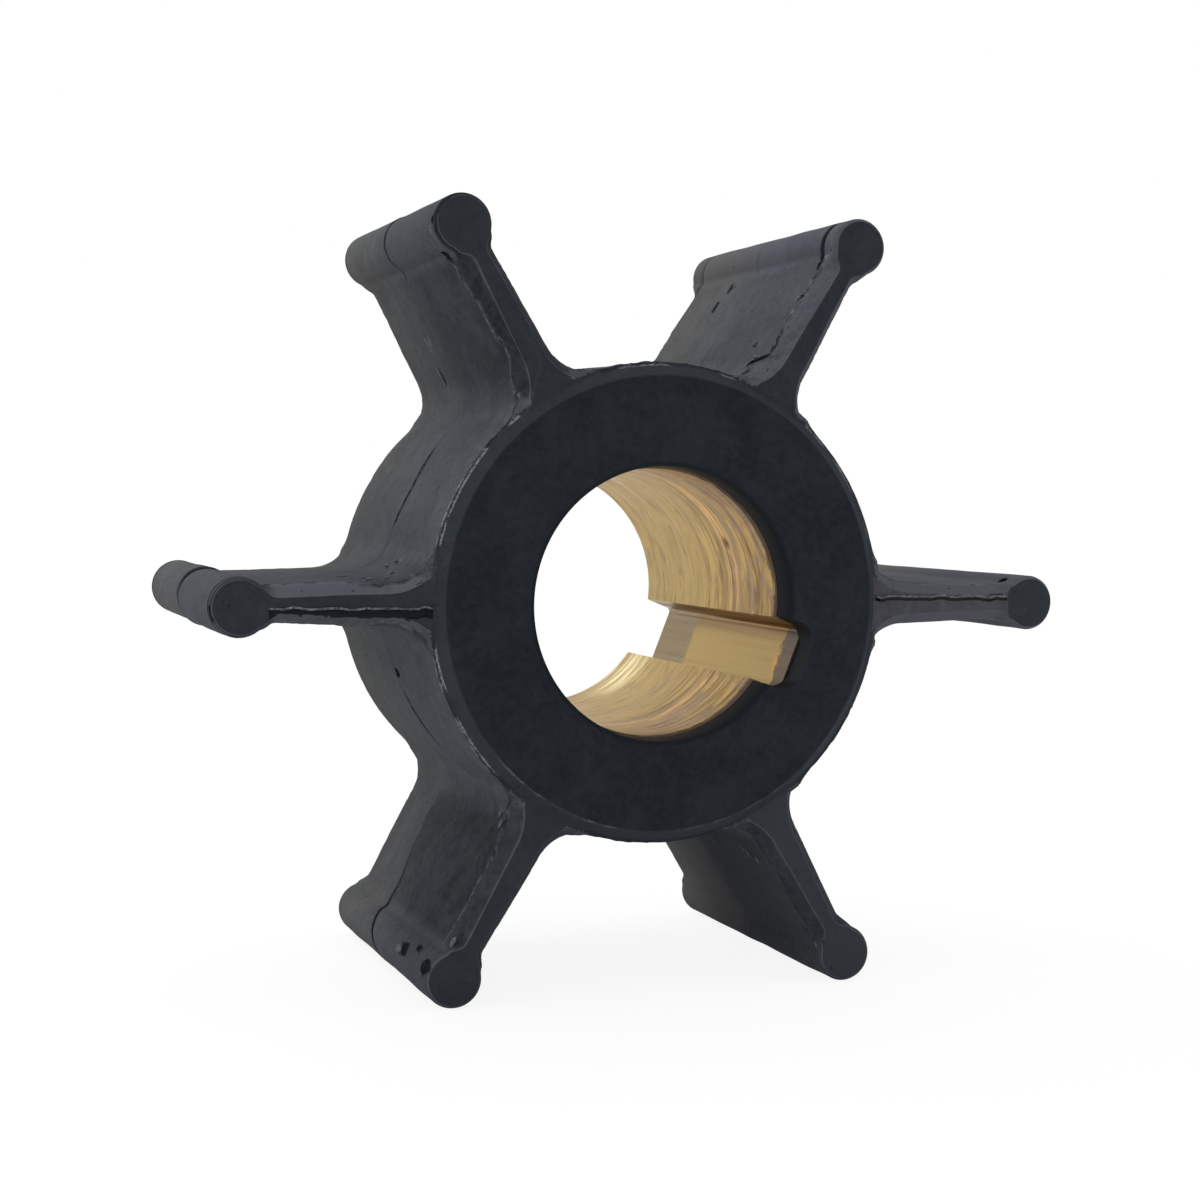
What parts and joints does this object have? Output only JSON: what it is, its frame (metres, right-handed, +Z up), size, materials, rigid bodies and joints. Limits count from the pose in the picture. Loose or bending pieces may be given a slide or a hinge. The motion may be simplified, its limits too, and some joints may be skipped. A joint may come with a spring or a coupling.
{
  "type": "rubber pump impeller",
  "caption": "Flexible rubber impeller with beaded radial vanes, moulded round a keyed brass hub insert, for a raw-water pump.",
  "frame": {"origin": "centre of the shaft bore, midway between the two hub faces", "axes": "Y along the shaft bore with the front face towards -Y, +X along one vane, +Z up; it stands on the tips of its two lower vanes"},
  "size_m": [0.04, 0.0176, 0.035],
  "materials": {
    "rubber": "matt moulded black rubber",
    "brass": "turned, with fine circular tool marks"
  },
  "bodies": {
    "root": {"rubber_impeller": "rubber", "brass_insert": "brass"}
  },
  "joints": []
}
